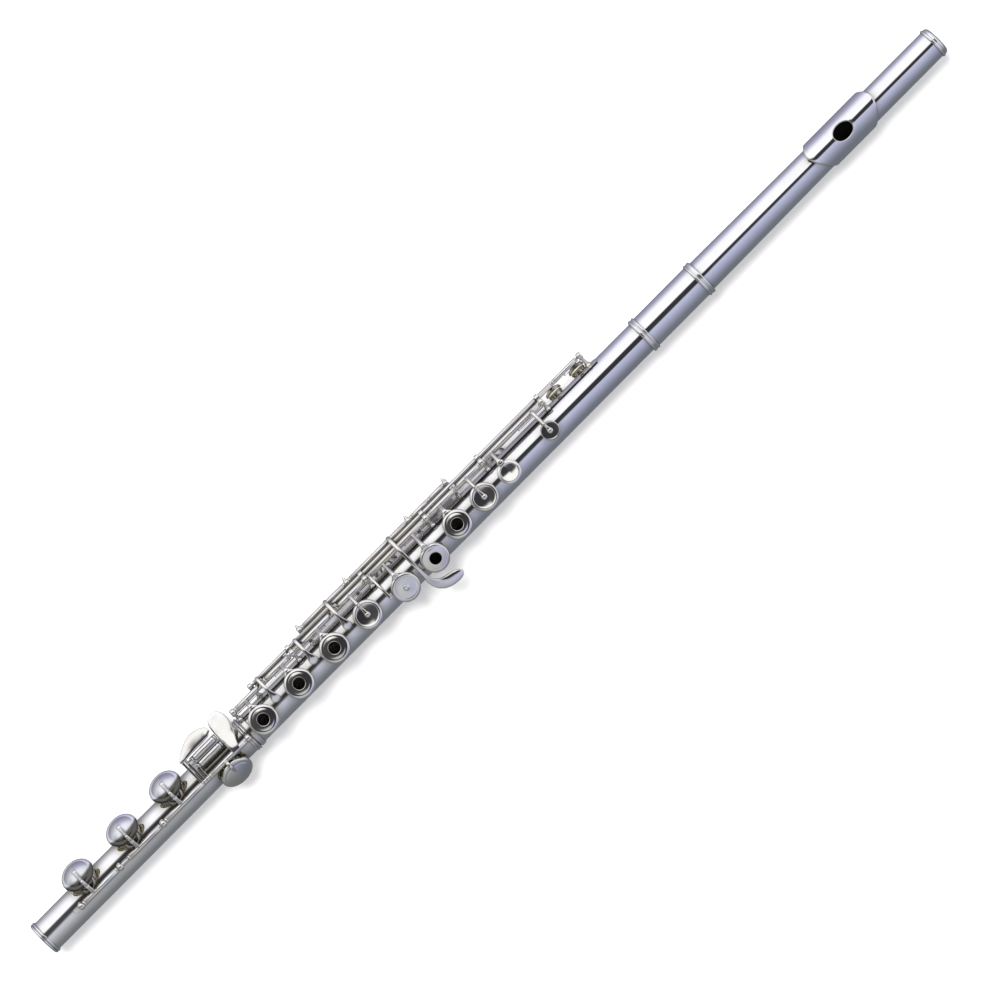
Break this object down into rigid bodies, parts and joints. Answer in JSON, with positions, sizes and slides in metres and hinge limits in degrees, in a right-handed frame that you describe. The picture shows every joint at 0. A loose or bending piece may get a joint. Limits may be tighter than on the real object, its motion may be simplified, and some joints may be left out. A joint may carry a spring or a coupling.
{
  "type": "concert flute",
  "caption": "Concert flute with a B foot: head, body and foot joints, open-hole ring cups, offset G cups, trill keys and hinged keywork on posts.",
  "frame": {"origin": "centre of the open end of the foot joint, on the bore axis", "axes": "+X out of the foot end along the bore, so the head joint is at negative X; +Z out of the tone holes on top; -Y is the player's side, where the hinge rods run"},
  "size_m": [0.711, 0.0462, 0.0378],
  "materials": {
    "silver_tube": "polished silver plate",
    "silver_keys": "polished silver plate, slightly warm",
    "steel": "drawn hinge and spring steel",
    "pad_skin": "fish-skin over felt, satin",
    "cork": "natural cork, matt"
  },
  "bodies": {
    "body": {"body_tube": "silver_tube", "barrel": "silver_tube", "body_ring": "silver_tube", "body_rib": "silver_keys", "body_posts": "silver_keys", "back_posts": "silver_keys", "left_hand_steel": "steel", "back_steels": "steel", "body_springs": "steel"},
    "head": {"head_tube": "silver_tube", "lip_plate": "silver_tube", "embouchure_riser": "silver_tube"},
    "crown": {"crown": "silver_tube"},
    "stopper": {"stopper_rod": "silver_tube", "stopper_cork": "cork"},
    "foot": {"foot_tube": "silver_tube", "foot_rib": "silver_keys", "foot_posts": "silver_keys", "foot_springs": "steel"},
    "c_key": {"c_key": "silver_keys", "c_key_pad": "pad_skin"},
    "bb_key": {"bb_key": "silver_keys", "bb_key_pad": "pad_skin"},
    "a_key": {"a_key": "silver_keys", "a_key_pad": "pad_skin"},
    "g_key": {"g_key": "silver_keys", "g_key_pads": "pad_skin"},
    "f_sharp_key": {"f_sharp_key": "silver_keys", "f_sharp_key_pad": "pad_skin"},
    "f_key": {"f_key": "silver_keys", "f_key_pad": "pad_skin"},
    "e_key": {"e_key": "silver_keys", "e_key_pad": "pad_skin"},
    "d_key": {"d_key": "silver_keys", "d_key_pad": "pad_skin"},
    "trill_d_key": {"trill_d_key": "silver_keys", "trill_d_key_pad": "pad_skin"},
    "trill_ds_key": {"trill_ds_key": "silver_keys", "trill_ds_key_pad": "pad_skin"},
    "thumb_b_key": {"thumb_b_key": "silver_keys", "thumb_b_key_pad": "pad_skin"},
    "thumb_bb_key": {"thumb_bb_key": "silver_keys"},
    "g_sharp_key": {"g_sharp_key": "silver_keys", "g_sharp_key_pad": "pad_skin"},
    "bb_side_lever": {"bb_side_lever": "silver_keys"},
    "low_ds_key": {"low_ds_key": "silver_keys", "low_ds_key_pad": "pad_skin"},
    "low_cs_key": {"low_cs_key": "silver_keys", "low_cs_key_pad": "pad_skin"},
    "low_c_key": {"low_c_key": "silver_keys", "low_c_key_pad": "pad_skin"},
    "low_b_key": {"low_b_key": "silver_keys", "low_b_key_pad": "pad_skin"},
    "low_c_roller": {"low_c_roller": "silver_keys"},
    "low_b_roller": {"low_b_roller": "silver_keys"}
  },
  "joints": [
    {"name": "head_slide", "type": "slide", "parent": "body", "child": "head", "axis": [-1, 0, 0], "range_m": [-0.006, 0.008]},
    {"name": "crown_turn", "type": "hinge", "parent": "head", "child": "crown", "pos_m": [-0.704, 0, 0], "axis": [1, 0, 0], "range_deg": [-360, 360]},
    {"name": "stopper_slide", "type": "slide", "parent": "head", "child": "stopper", "axis": [1, 0, 0], "range_m": [-0.0008, 0.0008]},
    {"name": "foot_turn", "type": "hinge", "parent": "body", "child": "foot", "pos_m": [-0.158, 0, 0], "axis": [1, 0, 0], "range_deg": [-10, 10]},
    {"name": "c_turn", "type": "hinge", "parent": "body", "child": "c_key", "pos_m": [-0.386, -0.015, 0.0072], "axis": [1, 0, 0], "range_deg": [-10, 0]},
    {"name": "bb_turn", "type": "hinge", "parent": "body", "child": "bb_key", "pos_m": [-0.35, -0.015, 0.0072], "axis": [1, 0, 0], "range_deg": [-10, 0]},
    {"name": "a_turn", "type": "hinge", "parent": "body", "child": "a_key", "pos_m": [-0.3285, -0.015, 0.0072], "axis": [1, 0, 0], "range_deg": [-10, 0]},
    {"name": "g_turn", "type": "hinge", "parent": "body", "child": "g_key", "pos_m": [-0.295, -0.015, 0.0072], "axis": [1, 0, 0], "range_deg": [-10, 0]},
    {"name": "f_sharp_turn", "type": "hinge", "parent": "body", "child": "f_sharp_key", "pos_m": [-0.2575, -0.015, 0.0072], "axis": [1, 0, 0], "range_deg": [-10, 0]},
    {"name": "f_turn", "type": "hinge", "parent": "body", "child": "f_key", "pos_m": [-0.2313, -0.015, 0.0072], "axis": [1, 0, 0], "range_deg": [-10, 0]},
    {"name": "e_turn", "type": "hinge", "parent": "body", "child": "e_key", "pos_m": [-0.2033, -0.015, 0.0072], "axis": [1, 0, 0], "range_deg": [-10, 0]},
    {"name": "d_turn", "type": "hinge", "parent": "body", "child": "d_key", "pos_m": [-0.175, -0.015, 0.0072], "axis": [1, 0, 0], "range_deg": [-10, 0]},
    {"name": "trill_d_turn", "type": "hinge", "parent": "body", "child": "trill_d_key", "pos_m": [-0.318, -0.0179, 0.0039], "axis": [1, 0, 0], "range_deg": [-12, 0]},
    {"name": "trill_ds_turn", "type": "hinge", "parent": "body", "child": "trill_ds_key", "pos_m": [-0.312, -0.0179, 0.0039], "axis": [1, 0, 0], "range_deg": [-12, 0]},
    {"name": "thumb_b_turn", "type": "hinge", "parent": "body", "child": "thumb_b_key", "pos_m": [-0.332, -0.02, -0.001], "axis": [1, 0, 0], "range_deg": [0, 12]},
    {"name": "thumb_bb_turn", "type": "hinge", "parent": "body", "child": "thumb_bb_key", "pos_m": [-0.319, -0.02, -0.001], "axis": [1, 0, 0], "range_deg": [0, 8]},
    {"name": "g_sharp_turn", "type": "hinge", "parent": "body", "child": "g_sharp_key", "pos_m": [-0.286, -0.02, -0.001], "axis": [1, 0, 0], "range_deg": [-8, 0]},
    {"name": "bb_side_turn", "type": "hinge", "parent": "body", "child": "bb_side_lever", "pos_m": [-0.243, -0.02, -0.001], "axis": [1, 0, 0], "range_deg": [-8, 0]},
    {"name": "low_ds_turn", "type": "hinge", "parent": "foot", "child": "low_ds_key", "pos_m": [-0.146, 0.0002, 0.014], "axis": [1, 0, 0], "range_deg": [0, 12]},
    {"name": "low_cs_turn", "type": "hinge", "parent": "foot", "child": "low_cs_key", "pos_m": [-0.111, 0.0002, 0.014], "axis": [1, 0, 0], "range_deg": [0, 12]},
    {"name": "low_c_turn", "type": "hinge", "parent": "foot", "child": "low_c_key", "pos_m": [-0.098, 0.0002, 0.014], "axis": [1, 0, 0], "range_deg": [0, 12]},
    {"name": "low_b_turn", "type": "hinge", "parent": "foot", "child": "low_b_key", "pos_m": [-0.095, 0.0002, 0.014], "axis": [1, 0, 0], "range_deg": [0, 12]},
    {"name": "low_b_roller_spin", "type": "hinge", "parent": "low_b_key", "child": "low_b_roller", "pos_m": [-0.1401, -0.0084, 0.01317], "axis": [1, 0, 0], "continuous": true},
    {"name": "low_c_roller_spin", "type": "hinge", "parent": "low_c_key", "child": "low_c_roller", "pos_m": [-0.1401, -0.0131, 0.01245], "axis": [1, 0, 0], "continuous": true}
  ],
  "couplings": [
    {"joint": "bb_turn", "follows": "a_turn", "ratio": 1},
    {"joint": "f_sharp_turn", "follows": "f_turn", "ratio": 1},
    {"joint": "stopper_slide", "follows": "crown_turn", "m_per_rad": 0.00011937}
  ]
}
